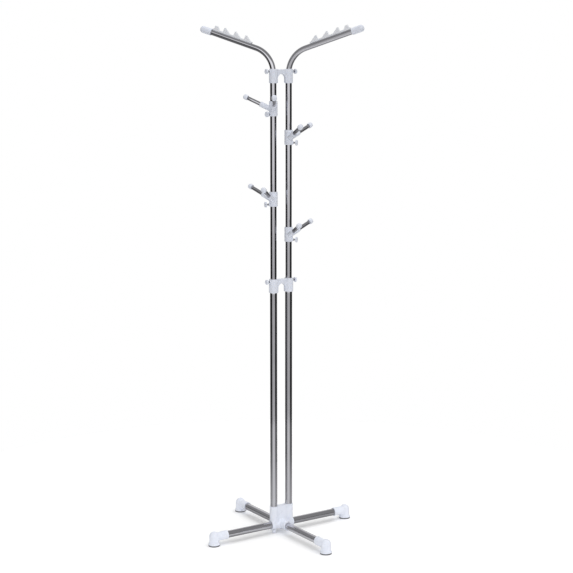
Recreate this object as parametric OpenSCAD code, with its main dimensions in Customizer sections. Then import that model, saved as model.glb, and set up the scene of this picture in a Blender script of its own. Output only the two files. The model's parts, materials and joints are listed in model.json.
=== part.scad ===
// Standing coat rack: a four-legged base, two telescopic steel poles side by side,
// two bent arms with toothed hanger rails, and four brackets with two coat pegs each.
// Origin: on the floor under the middle of the base. +Z is up, +X runs from the
// left pole to the right pole, and -Y is the front.

/* [Tubes] */
// Distance between the axes of the two poles
pole_gap = 63; // [60:1:70]
// Outside diameter of the lower poles and of the legs
lower_d = 25; // [24.5:0.5:25.5]
// Outside diameter of the upper poles
upper_d = 22; // [21.5:0.5:22]
// Outside diameter of the arms
arm_d = 19; // [18:0.5:19]
// Outside diameter of the coat pegs
peg_d = 13; // [12:0.5:14]
// Wall thickness of every steel tube
wall = 0.7; // [0.5:0.1:0.8]

/* [Base] */
// Distance from the middle of the stand to the axis of each foot
foot_reach = 280; // [220:5:340]
// Height of the legs' axes above the floor
leg_z = 31; // [30:0.5:33]
// Height of the top of the base hub
hub_top = 100; // [95:1:120]
// Distance from the middle of the stand to the mouth of each leg socket
hub_reach = 45.5; // [44:0.5:60]
// Diameter of each foot where it meets the floor pad
foot_d = 41; // [38:1:48]

/* [Heights] */
// Height of the underside of the middle connector
middle_z = 872.5; // [700:0.5:900]
// Height of the underside of the upper connector
upper_z = 1597; // [1590:1:1640]
// Height of each connector
connector_h = 48; // [46:1:56]
// Length of upper pole hidden inside the lower pole
pole_overlap = 200; // [150:5:300]
// Length of straight tube on each arm, inside the upper pole
arm_overlap = 170; // [150:5:250]

/* [Arms] */
// Radius of the bend in each arm, at the tube's centreline
arm_bend_r = 90; // [80:1:110]
// Angle of the arms above the horizontal
arm_tilt = 18; // [5:1:30]
// Length of bare tube between the bend and the end cap
arm_straight = 176; // [165:1:220]
// Length of each end cap
arm_cap_l = 43.5; // [40:0.5:60]
// Heading of the right arm, counted from +X; the left arm points the other way
arm_heading = -55.5; // [-90:0.5:90]
// Height of the rail's three inner teeth above the tube
tooth_h = 20.5; // [14:0.5:24]
// Distance from one inner tooth to the next
tooth_pitch = 41.5; // [34:0.5:42]

/* [Hooks] */
// Height of each hook bracket
hook_h = 51; // [48:1:60]
// Angle of the pegs above the horizontal
peg_tilt = 24.5; // [15:0.5:30]
// Angle between the two pegs of a bracket, seen from above
peg_spread = 105; // [95:1:120]
// Distance along a peg from the pole's axis to its tip
peg_reach = 115; // [100:1:130]
// Height of the underside of the upper bracket on the left pole
left_upper_z = 1485; // [1480:1:1500]
// Height of the underside of the upper bracket on the right pole
right_upper_z = 1386; // [1380:1:1400]
// Height of the underside of the lower bracket on the left pole
left_lower_z = 1175; // [1170:1:1190]
// Height of the underside of the lower bracket on the right pole
right_lower_z = 1049; // [1045:1:1060]

/* [Screws] */
// Diameter of the thumb screws and of the base screws
screw_d = 6; // [5:1:6]
// Diameter of the knobs on the connectors
connector_knob_d = 17; // [15:0.5:19]
// Diameter of the knobs on the hook brackets
hook_knob_d = 19; // [17:0.5:21]
// Thickness of the knobs
knob_t = 6; // [5:0.5:6.5]

/* [Hidden] */
$fn = 64;
lap = 1;
running = 0.05;
clear = 0.3;
lower_r = lower_d / 2;
upper_r = upper_d / 2;
arm_r = arm_d / 2;
peg_r = peg_d / 2;
screw_r = screw_d / 2;

leg_start = 18;
leg_end = foot_reach - 15;
hub_bottom = 16;
hub_foot_r = 10;
hub_foot_h = 12;
hub_sleeve_r = 15;
hub_web_y = 18;
hub_web_bottom = 23;
hub_socket_r = 16;
hub_lip_r = 17;
hub_lip_l = 3.5;
hub_blend_r = 21;
hub_blend_l = 12;
pole_bottom = leg_z + lower_r + 3.5;
plug_h = 22;
base_knob_z = 2;
base_knob_h = leg_z - hub_lip_r - clear - base_knob_z;
base_knob_r = 6.5;

foot_r = 17;
foot_mouth = 52;
foot_socket_r = 14.5;
foot_mouth_r = 15.5;
foot_base = 4;
foot_flare_h = 10;
foot_dome_z = 34;
pad_stem_r = 12;
pad_stem_h = 7;

middle_sleeve_r = 16;
upper_sleeve_r = 14.5;
arch_crown = 17;
arch_y = 12;
boss_r = 5;
boss_end = 17.5;
connector_screw_z = connector_h - 8.5;
connector_knob_at = 24.5;
step_h = 25;

upper_bottom = middle_z + step_h - pole_overlap;
guide_h = 7;
guide_stem = 16;
arm_bend_z = upper_z + connector_h - 15.5;
arm_bottom = upper_z + step_h - arm_overlap;
arm_bend_x = arm_bend_r * (1 - sin(arm_tilt));
arm_bend_top = arm_bend_z + arm_bend_r * cos(arm_tilt);
arm_flare_r = arm_r + 1.7;
bend_thinning = 0.1;
bend_lap = 2;
arm_cap_r = 12;
arm_cap_bore = 30;

rail_inner = arm_straight - 155;
rail_outer = arm_straight - 2;
rail_w = 8;
rail_base_h = 5.5;
rail_lap = 1.5;
tooth_l = 25;
tooth_crest = 3;
tooth_lead = 2.5;
// Place of each tooth's outer edge along the arm, with its height, its length and its crest
TEETH = concat(
  [[arm_straight - 8, tooth_h - 3.5, 19, 9]],
  [for (i = [0:2]) [arm_straight - 43 - i * tooth_pitch, tooth_h, tooth_l, tooth_crest]]
);

hook_r = 14.5;
hook_lip = 2;
liner_r = 12.2;
liner_slot = 2;
peg_axis_z = 20.5;
peg_start = 20;
peg_socket_r = 9.25;
peg_socket_end = 50;
peg_cap_r = 9.25;
peg_cap_l = 16;
hook_screw_z = 7;
hook_knob_at = 25;

knob_flutes = 10;
knob_bore = 5.3;

LEGS = [["right", 0], ["rear", 90], ["left", 180], ["front", 270]];
SIDES = [["left", -1], ["right", 1]];
// Name, side of the stand, height of the underside, and heading of the first peg
HOOKS = [
  ["left_upper", -1, left_upper_z, 134],
  ["right_upper", 1, right_upper_z, 261],
  ["left_lower", -1, left_lower_z, 112],
  ["right_lower", 1, right_lower_z, 258.5]
];
// Name, side of the stand, height of the underside of the connector, and radius of the tube it grips
CONNECTOR_SCREWS = [
  ["middle_left", -1, middle_z, upper_r + clear + running],
  ["middle_right", 1, middle_z, upper_r + clear + running],
  ["top_left", -1, upper_z, arm_r + 1],
  ["top_right", 1, upper_z, arm_r + 1]
];
SINGLE = [
  "base_hub", "foot_pads", "lower_pole_plugs", "base_lock_screws",
  "middle_connector", "upper_pole_guides", "upper_connector"
];

STEEL = [0.62, 0.62, 0.64];
WHITE = [0.92, 0.93, 0.96];
RUBBER = [0.42, 0.43, 0.45];
NYLON = [0.85, 0.85, 0.82];

// Points of an arc about a centre
function arc(centre, r, from, to, steps = 8) =
  [for (i = [0:steps]) centre + r * [cos(from + (to - from) * i / steps), sin(from + (to - from) * i / steps)]];

// Headings of a bracket's two pegs, and of its thumb screw between them
function peg_headings(hook) = [hook[3], hook[3] + peg_spread];
function screw_heading(hook) = hook[3] + peg_spread / 2;

// Moves to the axis of one pole
module at_pole(side) {
  translate([side * pole_gap / 2, 0, 0]) children();
}

// Turns +Z to a level heading, at a height
module level(heading, z) {
  translate([0, 0, z]) rotate([0, 90, heading]) children();
}

// A hollow tube standing on its lower end
module tube(d, length) {
  difference() {
    cylinder(d = d, h = length);
    translate([0, 0, -lap]) cylinder(d = d - 2 * wall, h = length + 2 * lap);
  }
}

// A bore that breaks through both ends of a length
module bore(r, from, to) {
  translate([0, 0, from]) cylinder(r = r, h = to - from);
}

// ---- Base ----

module base_hub() {
  color(WHITE) difference() {
    union() {
      for (side = SIDES) at_pole(side[1]) {
        translate([0, 0, hub_bottom]) cylinder(r1 = hub_foot_r, r2 = hub_sleeve_r, h = hub_foot_h);
        bore(hub_sleeve_r, hub_bottom + hub_foot_h - lap / 2, hub_top);
      }
      translate([-pole_gap / 2, -hub_web_y / 2, hub_web_bottom])
        cube([pole_gap, hub_web_y, hub_top - lap - hub_web_bottom]);
      for (leg = LEGS) level(leg[1], leg_z) {
        cylinder(r = hub_socket_r, h = hub_reach - lap);
        bore(hub_lip_r, hub_reach - hub_lip_l, hub_reach);
      }
      for (heading = [90, 270]) level(heading, leg_z) translate([0, 0, hub_web_y / 2 - lap])
        cylinder(r1 = hub_blend_r, r2 = hub_socket_r, h = hub_blend_l);
    }
    for (leg = LEGS) level(leg[1], leg_z) bore(lower_r + running, leg_start, hub_reach + lap);
    for (side = SIDES) at_pole(side[1]) {
      bore(lower_r + running, pole_bottom, hub_top + lap);
      bore(screw_r + clear, 0, pole_bottom + lap);
    }
  }
}

module leg_tube(heading) {
  color(STEEL) difference() {
    level(heading, leg_z) translate([0, 0, leg_start]) tube(lower_d, leg_end - leg_start);
    for (side = SIDES) at_pole(side[1]) bore(screw_r + clear, 0, pole_bottom);
  }
}

module foot_elbow(heading) {
  body = concat(
    [[0, foot_base], [foot_d / 2, foot_base], [foot_d / 2, foot_base + lap]],
    arc([foot_r + foot_flare_h, foot_base + foot_flare_h + lap], foot_flare_h, 230, 180, 5),
    arc([0, foot_dome_z], foot_r, 0, 90, 12)
  );
  color(WHITE) rotate([0, 0, heading]) translate([foot_reach, 0, 0]) difference() {
    union() {
      rotate_extrude() polygon(body);
      level(180, leg_z) cylinder(r1 = foot_socket_r, r2 = foot_mouth_r, h = foot_mouth);
    }
    level(180, leg_z) bore(lower_r + running, foot_reach - leg_end, foot_mouth + lap);
    bore(pad_stem_r + running, 0, foot_base + pad_stem_h + lap);
  }
}

module foot_pads() {
  color(RUBBER) for (leg = LEGS) rotate([0, 0, leg[1]]) translate([foot_reach, 0, 0]) {
    cylinder(d = foot_d - 1, h = foot_base);
    bore(pad_stem_r, foot_base - lap, foot_base + pad_stem_h);
  }
}

module lower_pole(side) {
  color(STEEL) at_pole(side) translate([0, 0, pole_bottom])
    tube(lower_d, middle_z + step_h - pole_bottom);
}

module lower_pole_plugs() {
  color(NYLON) for (side = SIDES) at_pole(side[1]) difference() {
    bore(lower_r - wall - running, pole_bottom, pole_bottom + plug_h);
    bore(screw_r + running, pole_bottom - lap, pole_bottom + plug_h + lap);
  }
}

module base_lock_screws() {
  color(WHITE) for (side = SIDES) at_pole(side[1]) {
    bore(base_knob_r, base_knob_z, base_knob_z + base_knob_h);
    bore(screw_r, base_knob_z + base_knob_h - lap, pole_bottom + plug_h - 2);
  }
}

// ---- Connectors ----

// Two sleeves joined by an arch, standing on its lower end
module connector_body(sleeve_r) {
  arch_r = pole_gap / 2 - sleeve_r - lap;
  for (side = SIDES) at_pole(side[1]) {
    cylinder(r = sleeve_r, h = connector_h);
    level(side[1] > 0 ? 0 : 180, connector_screw_z) cylinder(r = boss_r, h = boss_end);
  }
  difference() {
    translate([-pole_gap / 2, -arch_y / 2, lap]) cube([pole_gap, arch_y, connector_h - 2 * lap]);
    translate([0, 0, connector_h - arch_crown - arch_r]) rotate([90, 0, 0])
      cylinder(r = arch_r, h = arch_y + 2 * lap, center = true);
    translate([-arch_r, -arch_y / 2 - lap, -lap])
      cube([2 * arch_r, arch_y + 2 * lap, connector_h - arch_crown - arch_r + lap]);
  }
}

// Threaded hole for a connector's thumb screw
module connector_thread(side) {
  level(side > 0 ? 0 : 180, connector_screw_z) cylinder(r = screw_r + running, h = boss_end + lap);
}

module middle_connector() {
  color(WHITE) translate([0, 0, middle_z]) difference() {
    connector_body(middle_sleeve_r);
    for (side = SIDES) at_pole(side[1]) {
      bore(lower_r + running, -lap, step_h);
      bore(upper_r + clear, step_h - lap, connector_h + lap);
      connector_thread(side[1]);
    }
  }
}

module upper_connector() {
  color(WHITE) translate([0, 0, upper_z]) difference() {
    connector_body(upper_sleeve_r);
    for (side = SIDES) at_pole(side[1]) {
      bore(upper_r + running, -lap, step_h);
      bore(arm_r + clear, step_h - lap, connector_h);
      bore(arm_flare_r, arm_bend_z - upper_z, connector_h + lap);
      connector_thread(side[1]);
    }
  }
}

// ---- Upper frame ----

module upper_pole(side) {
  color(STEEL) at_pole(side) translate([0, 0, upper_bottom])
    tube(upper_d, upper_z + step_h - upper_bottom);
}

module upper_pole_guides() {
  color(NYLON) for (side = SIDES) at_pole(side[1]) difference() {
    union() {
      bore(lower_r - wall - running, upper_bottom - guide_h, upper_bottom);
      bore(upper_r - wall - running, upper_bottom - lap, upper_bottom + guide_stem);
    }
    bore(upper_r - wall - 2, upper_bottom - guide_h - lap, upper_bottom + guide_stem + lap);
  }
}

// ---- Arms ----

// Moves to one arm: the pole's axis, turned so that the arm points along +X
module at_arm(side) {
  at_pole(side) rotate([0, 0, arm_heading + (side > 0 ? 0 : 180)]) children();
}

// Moves to the arm's straight end part, with +Z along it and -X on its upper side
module along_arm() {
  translate([arm_bend_x, 0, arm_bend_top]) rotate([0, 90 - arm_tilt, 0]) children();
}

// The arm's route as a solid rod, a hair thinner where the tube was drawn round the bend
module arm_rod(r, extra) {
  bore(r, arm_bottom - extra, arm_bend_z + bend_lap);
  translate([arm_bend_r, 0, arm_bend_z]) rotate([90, 0, 0]) rotate([0, 0, 90 + arm_tilt])
    rotate_extrude(angle = 90 - arm_tilt) translate([arm_bend_r, 0]) circle(r = r - bend_thinning);
  along_arm() bore(r, -bend_lap, arm_straight + arm_cap_bore + extra);
}

module arm_tube(side) {
  color(STEEL) at_arm(side) difference() {
    arm_rod(arm_r, 0);
    arm_rod(arm_r - wall, lap);
  }
}

module arm_guide(side) {
  color(NYLON) at_arm(side) difference() {
    union() {
      bore(upper_r - wall - running, arm_bottom - clear - guide_h, arm_bottom - clear);
      bore(arm_r - wall - running, arm_bottom - lap, arm_bottom + guide_stem);
    }
    bore(arm_r - wall - 2, arm_bottom - guide_h - lap, arm_bottom + guide_stem + lap);
  }
}

module arm_end_cap(side) {
  round_r = 10;
  profile = concat(
    [[0, 0], [arm_cap_r - lap, 0], [arm_cap_r, lap]],
    arc([arm_cap_r - round_r, arm_cap_l - round_r], round_r, 0, 90),
    [[0, arm_cap_l]]
  );
  color(WHITE) at_arm(side) along_arm() translate([0, 0, arm_straight]) difference() {
    rotate_extrude() polygon(profile);
    bore(arm_r + running, -lap, arm_cap_bore);
  }
}

module hanger_rail(side) {
  color(WHITE) at_arm(side) along_arm() difference() {
    rotate([90, -90, 0]) linear_extrude(height = rail_w, center = true) {
      translate([rail_inner, arm_r - rail_lap]) square([rail_outer - rail_inner, rail_base_h + rail_lap]);
      for (tooth = TEETH) translate([tooth[0], arm_r])
        polygon([[tooth_lead, rail_base_h - lap], [0, tooth[1]], [-tooth[3], tooth[1]],
          [-tooth[2], rail_base_h - lap]]);
    }
    cylinder(r = arm_r + running, h = arm_straight);
  }
}

// ---- Hook brackets ----

// Moves to a bracket: the pole's axis, at the bracket's underside
module at_hook(hook) {
  at_pole(hook[1]) translate([0, 0, hook[2]]) children();
}

// Moves to a peg, with +Z along it
module along_peg(heading) {
  translate([0, 0, peg_axis_z]) rotate([0, 90 - peg_tilt, heading]) children();
}

module hook_sleeve(hook) {
  color(WHITE) at_hook(hook) difference() {
    union() {
      cylinder(r = hook_r, h = hook_h);
      for (heading = peg_headings(hook)) along_peg(heading) cylinder(r = peg_socket_r, h = peg_socket_end);
      level(screw_heading(hook), hook_screw_z) cylinder(r = boss_r, h = boss_end);
    }
    bore(upper_r + clear + running, -lap, hook_h + lap);
    bore(liner_r + running, hook_lip, hook_h - hook_lip);
    for (heading = peg_headings(hook)) along_peg(heading)
      bore(peg_r + running, peg_start, peg_socket_end + lap);
    level(screw_heading(hook), hook_screw_z) cylinder(r = screw_r + running, h = boss_end + lap);
  }
}

module hook_liner(hook) {
  color(NYLON) at_hook(hook) difference() {
    bore(liner_r, hook_lip + clear, hook_h - hook_lip - clear);
    bore(upper_r + running, 0, hook_h);
    rotate([0, 0, screw_heading(hook) + 180]) translate([0, -liner_slot / 2, 0])
      cube([2 * liner_r, liner_slot, hook_h]);
  }
}

module hook_pegs(hook) {
  color(STEEL) at_hook(hook) for (heading = peg_headings(hook)) along_peg(heading)
    translate([0, 0, peg_start]) tube(peg_d, peg_reach - peg_cap_l / 2 - peg_start);
}

module peg_caps(hook) {
  round_r = 7;
  profile = concat(
    [[0, 0], [peg_cap_r - lap, 0], [peg_cap_r, lap]],
    arc([peg_cap_r - round_r, peg_cap_l - round_r], round_r, 0, 90),
    [[0, peg_cap_l]]
  );
  color(WHITE) at_hook(hook) for (heading = peg_headings(hook)) along_peg(heading)
    translate([0, 0, peg_reach - peg_cap_l]) difference() {
      rotate_extrude() polygon(profile);
      bore(peg_r + running, -lap, peg_cap_l / 2);
    }
}

// ---- Thumb screws ----

// A screw lying along +Z, from its tip to its end inside the knob
module screw_shank(tip, knob_at) {
  color(STEEL) bore(screw_r, tip, knob_at + knob_bore - clear);
}

// A fluted round knob with a blind bore on the screw's end
module screw_knob(d, knob_at) {
  color(WHITE) translate([0, 0, knob_at]) difference() {
    cylinder(d = d, h = knob_t);
    bore(screw_r + running, -lap, knob_bore);
    for (i = [0:knob_flutes - 1]) rotate([0, 0, i * 360 / knob_flutes]) translate([d / 2 + 0.6, 0, -lap])
      cylinder(r = 1.4, h = knob_t + 2 * lap);
  }
}

// Moves to the axis of a bracket's screw, or of a connector's screw
module at_hook_screw(hook) {
  at_hook(hook) level(screw_heading(hook), hook_screw_z) children();
}
module at_connector_screw(screw) {
  at_pole(screw[1]) level(screw[1] > 0 ? 0 : 180, screw[2] + connector_screw_z) children();
}

base_hub();
foot_pads();
lower_pole_plugs();
base_lock_screws();
middle_connector();
upper_pole_guides();
upper_connector();
for (leg = LEGS) {
  leg_tube(leg[1]);
  foot_elbow(leg[1]);
}
for (side = SIDES) {
  lower_pole(side[1]);
  upper_pole(side[1]);
  arm_tube(side[1]);
  arm_guide(side[1]);
  arm_end_cap(side[1]);
  hanger_rail(side[1]);
}
for (hook = HOOKS) {
  hook_sleeve(hook);
  hook_liner(hook);
  hook_pegs(hook);
  peg_caps(hook);
  at_hook_screw(hook) screw_shank(liner_r + clear + running, hook_knob_at);
  at_hook_screw(hook) screw_knob(hook_knob_d, hook_knob_at);
}
for (screw = CONNECTOR_SCREWS) {
  at_connector_screw(screw) screw_shank(screw[3], connector_knob_at);
  at_connector_screw(screw) screw_knob(connector_knob_d, connector_knob_at);
}
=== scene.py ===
"""Standing coat rack: chromed tubes, moulded white plastic fittings and soft studio light.

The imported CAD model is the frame. Each moulded fitting is remade from its CAD node with eased
edges, and each steel tube is swept again as a smooth drawn tube. All lengths are in metres.
"""
import json
import math

import bmesh
import bpy
from mathutils import Matrix, Vector

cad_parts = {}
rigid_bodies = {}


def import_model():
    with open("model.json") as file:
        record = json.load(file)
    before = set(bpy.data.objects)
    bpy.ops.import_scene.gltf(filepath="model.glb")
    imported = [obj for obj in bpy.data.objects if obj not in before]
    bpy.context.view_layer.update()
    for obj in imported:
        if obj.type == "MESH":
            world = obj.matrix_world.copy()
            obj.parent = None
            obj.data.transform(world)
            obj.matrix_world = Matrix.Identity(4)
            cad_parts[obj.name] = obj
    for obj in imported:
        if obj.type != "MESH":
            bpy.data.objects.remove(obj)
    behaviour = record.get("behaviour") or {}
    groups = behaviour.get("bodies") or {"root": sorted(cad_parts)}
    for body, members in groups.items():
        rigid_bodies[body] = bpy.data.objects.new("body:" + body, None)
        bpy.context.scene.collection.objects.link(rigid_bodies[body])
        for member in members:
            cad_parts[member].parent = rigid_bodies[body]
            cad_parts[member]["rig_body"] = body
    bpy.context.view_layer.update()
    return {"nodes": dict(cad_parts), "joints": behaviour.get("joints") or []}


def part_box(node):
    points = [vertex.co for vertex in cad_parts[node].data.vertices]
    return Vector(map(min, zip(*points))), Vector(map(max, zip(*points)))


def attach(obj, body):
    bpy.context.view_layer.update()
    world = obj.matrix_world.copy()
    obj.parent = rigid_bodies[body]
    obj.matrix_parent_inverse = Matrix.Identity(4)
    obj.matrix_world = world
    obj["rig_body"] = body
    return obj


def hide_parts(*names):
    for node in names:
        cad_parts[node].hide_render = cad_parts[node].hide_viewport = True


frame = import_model()

MM = 0.001

# ---- Camera and studio ----

# The photograph's view: metres, degrees and millimetres of lens.
CAMERA_PLACE = (-2.6852, -4.0988, 1.6741)
CAMERA_PITCH = -9.069
CAMERA_HEADING = -33.45
CAMERA_LENS = 89.04
CAMERA_SENSOR = 36.0

# Heading from the stand to the camera's side of the studio.
FRONT = math.radians(236.55)

# The paper floor: its size, its white, and how bright polished steel sees it, near the stand
# and far from it, at the sides and toward the front. What the steel sees is a painted reflection: darker than
# the paper's white, brighter toward the front.
PAPER_RADIUS = 1.6
PAPER_WHITE = 1.06
PAPER_MIRRORED = 0.42
PAPER_MIRRORED_IN_FRONT = 0.76
FAR_PAPER_MIRRORED = 0.14
FAR_PAPER_MIRRORED_IN_FRONT = 0.74
PAPER_NEAR, PAPER_FAR = 0.35, 1.2

# The room round the floor: its even fill on matt surfaces, and what polished steel sees.
MATT_FILL = 0.48
REAR_PANEL = 0.45
CEILING = 0.27
ROOM = 0.02
PANEL_SOFT_EDGE = 8


def make_camera():
    data = bpy.data.cameras.new("camera")
    data.lens = CAMERA_LENS
    data.sensor_width = CAMERA_SENSOR
    data.clip_start, data.clip_end = 0.1, 100.0
    camera = bpy.data.objects.new("camera", data)
    camera.location = CAMERA_PLACE
    camera.rotation_euler = (math.radians(90 + CAMERA_PITCH), 0.0, math.radians(CAMERA_HEADING))
    bpy.context.scene.collection.objects.link(camera)
    bpy.context.scene.camera = camera


class Nodes:
    """A small helper that adds shader nodes to a tree and links them."""

    def __init__(self, tree):
        self.tree = tree
        tree.nodes.clear()

    def add(self, kind, **settings):
        node = self.tree.nodes.new(kind)
        for name, value in settings.items():
            setattr(node, name, value)
        return node

    def link(self, source, target):
        self.tree.links.new(source, target)

    def math(self, operation, a, b=0.0, clamp=False):
        node = self.add("ShaderNodeMath", operation=operation, use_clamp=clamp)
        for socket, value in zip(node.inputs, (a, b)):
            self.feed(socket, value)
        return node.outputs[0]

    def feed(self, socket, value):
        """A socket takes another node's output, or a plain value."""
        if isinstance(value, bpy.types.NodeSocket):
            self.link(value, socket)
        else:
            socket.default_value = value

    def vector(self, operation, a, b=None):
        node = self.add("ShaderNodeVectorMath", operation=operation)
        self.feed(node.inputs[0], a)
        if b is not None:
            self.feed(node.inputs[1], b)
        return node.outputs["Value"] if operation == "DOT_PRODUCT" else node.outputs[0]

    def ramp(self, value, low, high, to_low=0.0, to_high=1.0):
        """A soft step from to_low to to_high as the value goes from low to high."""
        node = self.add("ShaderNodeMapRange", interpolation_type="SMOOTHSTEP")
        for name, number in (("From Min", low), ("From Max", high), ("To Min", to_low), ("To Max", to_high)):
            node.inputs[name].default_value = number
        self.feed(node.inputs["Value"], value)
        return node.outputs["Result"]


def softbox(nodes, direction, heading, inner, outer, top):
    """Brightness of a tall panel seen along a heading: 1 within inner degrees, 0 beyond outer
    degrees of it, and fading out at top degrees above the horizon."""
    level = nodes.vector("NORMALIZE", nodes.vector("MULTIPLY", direction, (1.0, 1.0, 0.0)))
    facing = nodes.vector("DOT_PRODUCT", level, (math.cos(heading), math.sin(heading), 0.0))
    side = nodes.ramp(facing, math.cos(math.radians(outer)), math.cos(math.radians(inner)))
    height = nodes.vector("DOT_PRODUCT", direction, (0.0, 0.0, 1.0))
    edge_low = math.sin(math.radians(top - PANEL_SOFT_EDGE))
    edge_high = math.sin(math.radians(top + PANEL_SOFT_EDGE))
    below = nodes.ramp(height, edge_low, edge_high, 1.0, 0.0)
    return nodes.math("MULTIPLY", side, below)


def mirrored_room(nodes, direction):
    """What polished steel sees of the world: a front and a rear panel, ceiling, and far floor.

    Heights are sines of the angle above the horizon."""
    height = nodes.vector("DOT_PRODUCT", direction, (0.0, 0.0, 1.0))
    glow = nodes.ramp(height, -0.165, -0.05, 0.5, 0.92)
    front = nodes.math("MULTIPLY", softbox(nodes, direction, FRONT, 34, 50, 32), glow)
    rear = nodes.math("MULTIPLY", softbox(nodes, direction, FRONT + math.pi, 24, 40, 42), REAR_PANEL)
    ceiling = nodes.ramp(height, 0.05, 0.14, 0.0, CEILING)
    ground = nodes.ramp(height, -0.29, -0.235, FAR_PAPER_MIRRORED, 0.0)
    panels = nodes.math("ADD", nodes.math("ADD", front, rear), nodes.math("ADD", ceiling, ground))
    return nodes.math("ADD", panels, ROOM)


def make_world():
    """White to the camera, even fill for matt surfaces, and panels in a dark room for polished ones."""
    world = bpy.data.worlds.new("studio")
    world.use_nodes = True
    bpy.context.scene.world = world
    nodes = Nodes(world.node_tree)
    direction = nodes.add("ShaderNodeTexCoord").outputs["Generated"]
    rays = nodes.add("ShaderNodeLightPath")
    room = mirrored_room(nodes, direction)
    matt = nodes.math("ADD", nodes.math("MULTIPLY", rays.outputs["Is Glossy Ray"], -MATT_FILL), MATT_FILL)
    seen = nodes.math("MULTIPLY", rays.outputs["Is Glossy Ray"], room)
    indirect = nodes.math("ADD", seen, matt)
    camera = rays.outputs["Is Camera Ray"]
    hidden = nodes.math("SUBTRACT", 1.0, camera)
    strength = nodes.math("ADD", nodes.math("MULTIPLY", indirect, hidden), camera)
    background = nodes.add("ShaderNodeBackground")
    background.inputs["Color"].default_value = (1.0, 1.0, 1.0, 1.0)
    nodes.link(strength, background.inputs["Strength"])
    output = nodes.add("ShaderNodeOutputWorld")
    nodes.link(background.outputs[0], output.inputs["Surface"])


def broad_light(name, toward, spread, strength):
    """A very wide studio light far off, seen along a direction: the same at every height."""
    data = bpy.data.lights.new(name, "SUN")
    data.angle = math.radians(spread)
    data.energy = strength
    light = bpy.data.objects.new(name, data)
    light.location = Vector(toward).normalized() * 4.0
    light.rotation_euler = Vector(toward).to_track_quat("Z", "Y").to_euler()
    light.visible_glossy = False
    light.visible_camera = False
    bpy.context.scene.collection.objects.link(light)


def make_lights():
    broad_light("overhead", (0.2, -0.16, 1.0), 78, 1.55)
    broad_light("front_fill", (-2.9, -4.2, 1.7), 40, 0.6)


def mesh_object(name, shape):
    """An object in the scene made from a bmesh, which is used up."""
    mesh = bpy.data.meshes.new(name)
    shape.to_mesh(mesh)
    shape.free()
    made = bpy.data.objects.new(name, mesh)
    bpy.context.scene.collection.objects.link(made)
    return made


def make_floor():
    """A round sheet of white paper under the stand."""
    shape = bmesh.new()
    bmesh.ops.create_circle(shape, cap_ends=True, radius=PAPER_RADIUS, segments=96)
    floor = mesh_object("floor", shape)
    floor.data.materials.append(paper_material())


def paper_material():
    """Matt white paper; the steel sees a painted reflection of it, darker than it looks to the camera and
    brighter toward the front.
    """
    paper = bpy.data.materials.new("paper")
    paper.use_nodes = True
    nodes = Nodes(paper.node_tree)
    shader = nodes.add("ShaderNodeBsdfDiffuse")
    mirrored = nodes.add("ShaderNodeLightPath").outputs["Is Glossy Ray"]
    place = nodes.add("ShaderNodeTexCoord").outputs["Object"]
    # Painted reflection: the paper's colour for the steel only, brighter toward the front and dimmer far from
    # the stand.
    toward_front = softbox(nodes, place, FRONT, 30, 52, 85)
    radius = nodes.math("SQRT", nodes.vector("DOT_PRODUCT", place, place))
    far = nodes.ramp(radius, PAPER_NEAR, PAPER_FAR)
    near_tone = blend_colours(nodes, toward_front, grey(PAPER_MIRRORED), grey(PAPER_MIRRORED_IN_FRONT))
    far_tone = blend_colours(nodes, toward_front, grey(FAR_PAPER_MIRRORED), grey(FAR_PAPER_MIRRORED_IN_FRONT))
    painted_mirror_tone = blend_colours(nodes, far, near_tone, far_tone)
    colour = blend_colours(nodes, mirrored, grey(PAPER_WHITE), painted_mirror_tone)
    nodes.link(colour, shader.inputs["Color"])
    output = nodes.add("ShaderNodeOutputMaterial")
    nodes.link(shader.outputs[0], output.inputs["Surface"])
    return paper


def set_view_transform():
    bpy.context.scene.view_settings.view_transform = "Standard"
    bpy.context.scene.view_settings.look = "None"


# ---- Materials ----


def new_material(name):
    """A material, its nodes and its shader, with the shader on the surface."""
    material = bpy.data.materials.new(name)
    material.use_nodes = True
    nodes = Nodes(material.node_tree)
    shader = nodes.add("ShaderNodeBsdfPrincipled")
    output = nodes.add("ShaderNodeOutputMaterial")
    nodes.link(shader.outputs[0], output.inputs["Surface"])
    return material, nodes, shader


def noise(nodes, coordinates, scale, detail=3.0):
    node = nodes.add("ShaderNodeTexNoise")
    node.inputs["Scale"].default_value = scale
    node.inputs["Detail"].default_value = detail
    nodes.link(coordinates, node.inputs["Vector"])
    return node.outputs["Fac"]


def grey(level):
    return (level, level, level)


def blend_colours(nodes, fac, first, second):
    """A mix of two colours, each a tuple or another node's output."""
    mix = nodes.add("ShaderNodeMix", data_type="RGBA")
    nodes.feed(mix.inputs["Factor"], fac)
    for name, colour in (("A", first), ("B", second)):
        nodes.feed(mix.inputs[name], (*colour, 1.0) if isinstance(colour, tuple) else colour)
    return mix.outputs["Result"]


def bump(nodes, shader, height, strength, distance):
    node = nodes.add("ShaderNodeBump")
    node.inputs["Strength"].default_value = strength
    node.inputs["Distance"].default_value = distance
    nodes.link(height, node.inputs["Height"])
    nodes.link(node.outputs["Normal"], shader.inputs["Normal"])


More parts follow.
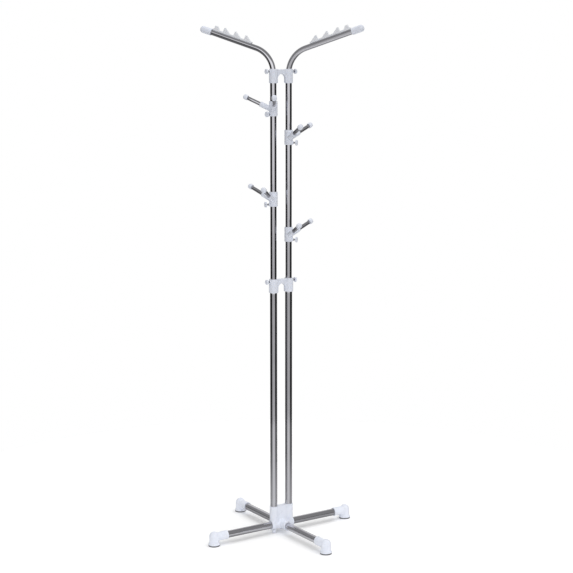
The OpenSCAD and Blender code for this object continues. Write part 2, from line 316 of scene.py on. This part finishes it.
def polished_steel():
    """Chromed tube: a mirror with faint polishing lines along it and slight clouding."""
    material, nodes, shader = new_material("polished_steel")
    shader.inputs["Metallic"].default_value = 1.0
    place = nodes.add("ShaderNodeTexCoord")
    lines = nodes.add("ShaderNodeMapping")
    lines.inputs["Scale"].default_value = (90.0, 2.2, 1.0)
    nodes.link(place.outputs["UV"], lines.inputs["Vector"])
    streaks = noise(nodes, lines.outputs[0], 1.0, 4.0)
    clouds = noise(nodes, place.outputs["Object"], 26.0)
    tone = nodes.math("ADD", nodes.math("MULTIPLY", streaks, 0.5), nodes.math("MULTIPLY", clouds, 0.5))
    colour = blend_colours(nodes, tone, (0.556, 0.552, 0.585), (0.686, 0.682, 0.72))
    nodes.link(colour, shader.inputs["Base Color"])
    nodes.link(nodes.ramp(tone, 0.3, 0.7, 0.07, 0.13), shader.inputs["Roughness"])
    bump(nodes, shader, streaks, 0.05, 0.0002)
    return material


def screw_steel():
    """Zinc-plated screw steel, a little duller than the tubes, with a fine grain on it."""
    material, nodes, shader = new_material("screw_steel")
    shader.inputs["Metallic"].default_value = 1.0
    place = nodes.add("ShaderNodeTexCoord")
    grain = noise(nodes, place.outputs["Object"], 900.0)
    colour = blend_colours(nodes, grain, (0.30, 0.30, 0.31), (0.46, 0.46, 0.47))
    nodes.link(colour, shader.inputs["Base Color"])
    nodes.link(nodes.ramp(grain, 0.3, 0.7, 0.25, 0.4), shader.inputs["Roughness"])
    bump(nodes, shader, grain, 0.2, 0.0002)
    return material


def moulded_plastic(name, dark, light, roughness):
    """Glossy moulded plastic: faint tone changes, orange peel, and a few dull patches."""
    material, nodes, shader = new_material(name)
    place = nodes.add("ShaderNodeTexCoord")
    clouds = noise(nodes, place.outputs["Object"], 38.0)
    peel = noise(nodes, place.outputs["Object"], 260.0, 2.0)
    nodes.link(blend_colours(nodes, clouds, dark, light), shader.inputs["Base Color"])
    nodes.link(nodes.ramp(clouds, 0.3, 0.7, roughness, roughness + 0.1), shader.inputs["Roughness"])
    shader.inputs["IOR"].default_value = 1.49
    shader.inputs["Subsurface Weight"].default_value = 0.08
    shader.inputs["Subsurface Radius"].default_value = (0.004, 0.0045, 0.005)
    bump(nodes, shader, peel, 0.03, 0.0002)
    return material


def pad_rubber():
    """Matt grey rubber with a fine grain."""
    material, nodes, shader = new_material("pad_rubber")
    place = nodes.add("ShaderNodeTexCoord")
    grain = noise(nodes, place.outputs["Object"], 1500.0)
    colour = blend_colours(nodes, grain, (0.09, 0.09, 0.095), (0.17, 0.17, 0.175))
    nodes.link(colour, shader.inputs["Base Color"])
    nodes.link(nodes.ramp(grain, 0.3, 0.7, 0.65, 0.85), shader.inputs["Roughness"])
    bump(nodes, shader, grain, 0.3, 0.0003)
    return material


def make_materials():
    return {
        "polished_steel": polished_steel(),
        "screw_steel": screw_steel(),
        "white_plastic": moulded_plastic("white_plastic", (0.77, 0.80, 0.89), (0.81, 0.84, 0.925), 0.24),
        "rail_plastic": moulded_plastic("rail_plastic", (0.80, 0.815, 0.86), (0.86, 0.875, 0.915), 0.3),
        "nylon": moulded_plastic("nylon", (0.66, 0.66, 0.62), (0.74, 0.74, 0.70), 0.45),
        "pad_rubber": pad_rubber(),
    }


def slot_of(node):
    """The record's material slot of a CAD node."""
    return frame["nodes"][node].material_slots[0].material.name


def body_of(node):
    """The moving body that a CAD node belongs to."""
    return frame["nodes"][node]["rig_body"]


# ---- Moulded fittings ----

WELD_DISTANCE = 0.002 * MM


def stand_in(piece, node, materials):
    """The piece takes a CAD node's place: its body, its material slot and its finish."""
    piece.data.materials.clear()
    piece.data.materials.append(materials[slot_of(node)])
    piece.data.polygons.foreach_set("use_smooth", [True] * len(piece.data.polygons))
    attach(piece, body_of(node))
    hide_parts(node)


def closed_copy(node):
    """A CAD node's mesh as an object of its own, with its seams welded."""
    shape = bmesh.new()
    shape.from_mesh(frame["nodes"][node].data)
    bmesh.ops.remove_doubles(shape, verts=shape.verts, dist=WELD_DISTANCE)
    return mesh_object(node + "_moulded", shape)


def apply_modifiers(piece):
    """The piece's mesh as its modifiers leave it takes the place of its first mesh."""
    made = bpy.data.meshes.new_from_object(piece.evaluated_get(bpy.context.evaluated_depsgraph_get()))
    piece.modifiers.clear()
    old = piece.data
    piece.data = made
    bpy.data.meshes.remove(old)


def moulded(node, materials, cell, easing, keep):
    """A fitting with its edges eased as they leave the mould: cell is the mesh's grain, easing
    the passes that round the edges, and keep the share of its faces that stay."""
    piece = closed_copy(node)
    grain = piece.modifiers.new("grain", "REMESH")
    grain.mode = "VOXEL"
    grain.voxel_size = cell
    grain.adaptivity = 0.0
    round_off = piece.modifiers.new("round_off", "SMOOTH")
    round_off.factor = 0.5
    round_off.iterations = easing
    thin = piece.modifiers.new("thin", "DECIMATE")
    thin.ratio = keep
    apply_modifiers(piece)
    stand_in(piece, node, materials)


# ---- Steel tubes ----

WALL = 0.7 * MM
RIM_EASE = 0.3 * WALL
TUBE_SEGMENTS = 72
STRAIGHT_STEP = 30 * MM
BEND_STEP = 4 * MM


class Straight:
    """A straight route from a point along a direction."""

    def __init__(self, start, direction, length):
        self.start = Vector(start)
        self.direction = Vector(direction).normalized()
        self.length = length

    def station(self, s):
        across = self.direction.orthogonal().normalized()
        return self.start + self.direction * s, across, self.direction.cross(across)


def wall_section(length, radius, step):
    """The tube wall's closed outline as (run, radius): outside, far rim, inside, near rim."""
    count = max(2, round(length / step))
    runs = [RIM_EASE + (length - 2 * RIM_EASE) * i / count for i in range(count + 1)]
    inner = radius - WALL
    outline = [(run, radius) for run in runs]
    outline += [(length, radius - RIM_EASE), (length, inner + RIM_EASE)]
    outline += [(run, inner) for run in reversed(runs)]
    outline += [(0.0, inner + RIM_EASE), (0.0, radius - RIM_EASE)]
    return outline


def ring(shape, route, run, radius):
    """A ring of points round a route, at one place along it."""
    middle, across, up = route.station(run)
    turn = 2 * math.pi / TUBE_SEGMENTS
    return [
        shape.verts.new(middle + (across * math.cos(k * turn) + up * math.sin(k * turn)) * radius)
        for k in range(TUBE_SEGMENTS)
    ]


def sweep(shape, route, radius, step):
    """A hollow tube along a route as one closed skin, with its length and turn as UV."""
    outline = wall_section(route.length, radius, step)
    uv = shape.loops.layers.uv.verify()
    skin = [ring(shape, route, run, r) for run, r in outline]
    for i, (run, _) in enumerate(outline):
        j = (i + 1) % len(outline)
        for k in range(TUBE_SEGMENTS):
            m = (k + 1) % TUBE_SEGMENTS
            face = shape.faces.new((skin[i][k], skin[i][m], skin[j][m], skin[j][k]))
            corners = ((k, run), (k + 1, run), (k + 1, outline[j][0]), (k, outline[j][0]))
            for loop, (turn, along) in zip(face.loops, corners):
                loop[uv].uv = (turn / TUBE_SEGMENTS, along)


def tube_piece(node, routes, radius, materials, step=STRAIGHT_STEP):
    """Steel tubes of one CAD node, swept along their routes with a ring at each step."""
    shape = bmesh.new()
    for route in routes:
        sweep(shape, route, radius, step)
    bmesh.ops.recalc_face_normals(shape, faces=shape.faces)
    stand_in(mesh_object(node + "_drawn", shape), node, materials)


def box_route(node):
    """The straight route and the radius of a tube that lies along one axis of the frame."""
    low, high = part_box(node)
    size = high - low
    axis = max(range(3), key=lambda i: size[i])
    start = (low + high) / 2
    start[axis] = low[axis]
    direction = Vector([1.0 if i == axis else 0.0 for i in range(3)])
    return Straight(start, direction, size[axis]), min(size) / 2


class BentArm:
    """The arm's route: up the pole, round the bend, and out along its straight end."""

    def __init__(self, bottom, heading, bend_z, bend_radius, tilt, straight):
        self.bottom = Vector(bottom)
        self.out = Vector((math.cos(heading), math.sin(heading), 0.0))
        self.up = Vector((0.0, 0.0, 1.0))
        self.radius = bend_radius
        self.turn = math.pi / 2 - tilt
        self.rise = bend_z - self.bottom.z
        self.curve = self.turn * bend_radius
        self.length = self.rise + self.curve + straight

    def station(self, s):
        turned = min(max((s - self.rise) / self.radius, 0.0), self.turn)
        along = self.up * math.cos(turned) + self.out * math.sin(turned)
        place = self.bottom + self.up * min(s, self.rise)
        place += self.out * self.radius * (1 - math.cos(turned)) + self.up * self.radius * math.sin(turned)
        place += along * max(s - self.rise - self.curve, 0.0)
        across = self.up.cross(self.out)
        return place, across, along.cross(across)


# The arms: heading and rise of the straight end, bend radius, and how far the bend's lower end
# lies under the upper connector's top.
ARM_HEADING = {"left": math.radians(124.5), "right": math.radians(-55.5)}
ARM_TILT = math.radians(18)
ARM_BEND = 90 * MM
ARM_STRAIGHT = 206 * MM
ARM_RADIUS = 9.5 * MM
BEND_BELOW_TOP = 15.5 * MM

# The pegs: rise, angle between the two of a bracket, reach from the pole's axis, and the height
# above the sleeve's lower end at which their axes meet.
PEG_RADIUS = 6.5 * MM
PEG_TILT = math.radians(24.5)
PEG_SPREAD = math.radians(105)
PEG_START, PEG_END = 20 * MM, 107 * MM
PEG_HEIGHT = 20.5 * MM

HOOKS = ("left_upper", "right_upper", "left_lower", "right_lower")
SIDES = ("left", "right")
LEGS = ("right", "rear", "left", "front")


def joint(name):
    """A joint of the record, by its name."""
    return next(j for j in frame["joints"] if j["name"] == name)


def arm_route(side):
    """The route of one arm, placed on its pole by the frame's joint and boxes."""
    axis = joint("arm_swivel_" + side)["pos_m"]
    bottom = (axis[0], axis[1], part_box("arm_tube_" + side)[0].z)
    bend_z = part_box("upper_connector")[1].z - BEND_BELOW_TOP
    return BentArm(bottom, ARM_HEADING[side], bend_z, ARM_BEND, ARM_TILT, ARM_STRAIGHT)


def peg_routes(hook):
    """Both pegs of a bracket, one each side of its thumb screw."""
    pole = joint("hook_swivel_" + hook)["pos_m"]
    screw = joint("screw_travel_" + hook)["axis"]
    facing = math.atan2(screw[1], screw[0])
    middle = Vector((pole[0], pole[1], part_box("hook_sleeve_" + hook)[0].z + PEG_HEIGHT))
    routes = []
    for turn in (-PEG_SPREAD / 2, PEG_SPREAD / 2):
        level = Vector((math.cos(facing + turn), math.sin(facing + turn), 0.0))
        along = level * math.cos(PEG_TILT) + Vector((0.0, 0.0, math.sin(PEG_TILT)))
        routes.append(Straight(middle + along * PEG_START, along, PEG_END - PEG_START))
    return routes


def make_tubes(materials):
    straight = ["lower_pole_" + side for side in SIDES] + ["upper_pole_" + side for side in SIDES]
    for node in straight + ["leg_tube_" + leg for leg in LEGS]:
        route, radius = box_route(node)
        tube_piece(node, [route], radius, materials)
    for side in SIDES:
        tube_piece("arm_tube_" + side, [arm_route(side)], ARM_RADIUS, materials, step=BEND_STEP)
    for hook in HOOKS:
        tube_piece("hook_pegs_" + hook, peg_routes(hook), PEG_RADIUS, materials)


def make_fittings(materials):
    moulded("base_hub", materials, 0.9 * MM, 10, 0.3)
    for node in ("middle_connector", "upper_connector"):
        moulded(node, materials, 0.7 * MM, 8, 0.3)
    for leg in LEGS:
        moulded("foot_elbow_" + leg, materials, 0.7 * MM, 8, 0.3)
    for side in SIDES:
        moulded("arm_end_cap_" + side, materials, 0.5 * MM, 6, 0.25)
        moulded("hanger_rail_" + side, materials, 0.5 * MM, 4, 0.3)
    for hook in HOOKS:
        moulded("hook_sleeve_" + hook, materials, 0.6 * MM, 8, 0.3)
        moulded("peg_caps_" + hook, materials, 0.45 * MM, 6, 0.25)
    for screw in HOOKS + ("middle_left", "middle_right", "top_left", "top_right"):
        moulded("screw_knob_" + screw, materials, 0.35 * MM, 4, 0.3)


def finish_cad_nodes(materials):
    """CAD nodes whose shape is right keep it and take the finer finish."""
    for name, node in frame["nodes"].items():
        for slot in node.material_slots:
            slot.material = materials[slot.material.name.split(".")[0]]


make_camera()
make_world()
make_lights()
make_floor()
set_view_transform()
MATERIALS = make_materials()
make_tubes(MATERIALS)
make_fittings(MATERIALS)
finish_cad_nodes(MATERIALS)
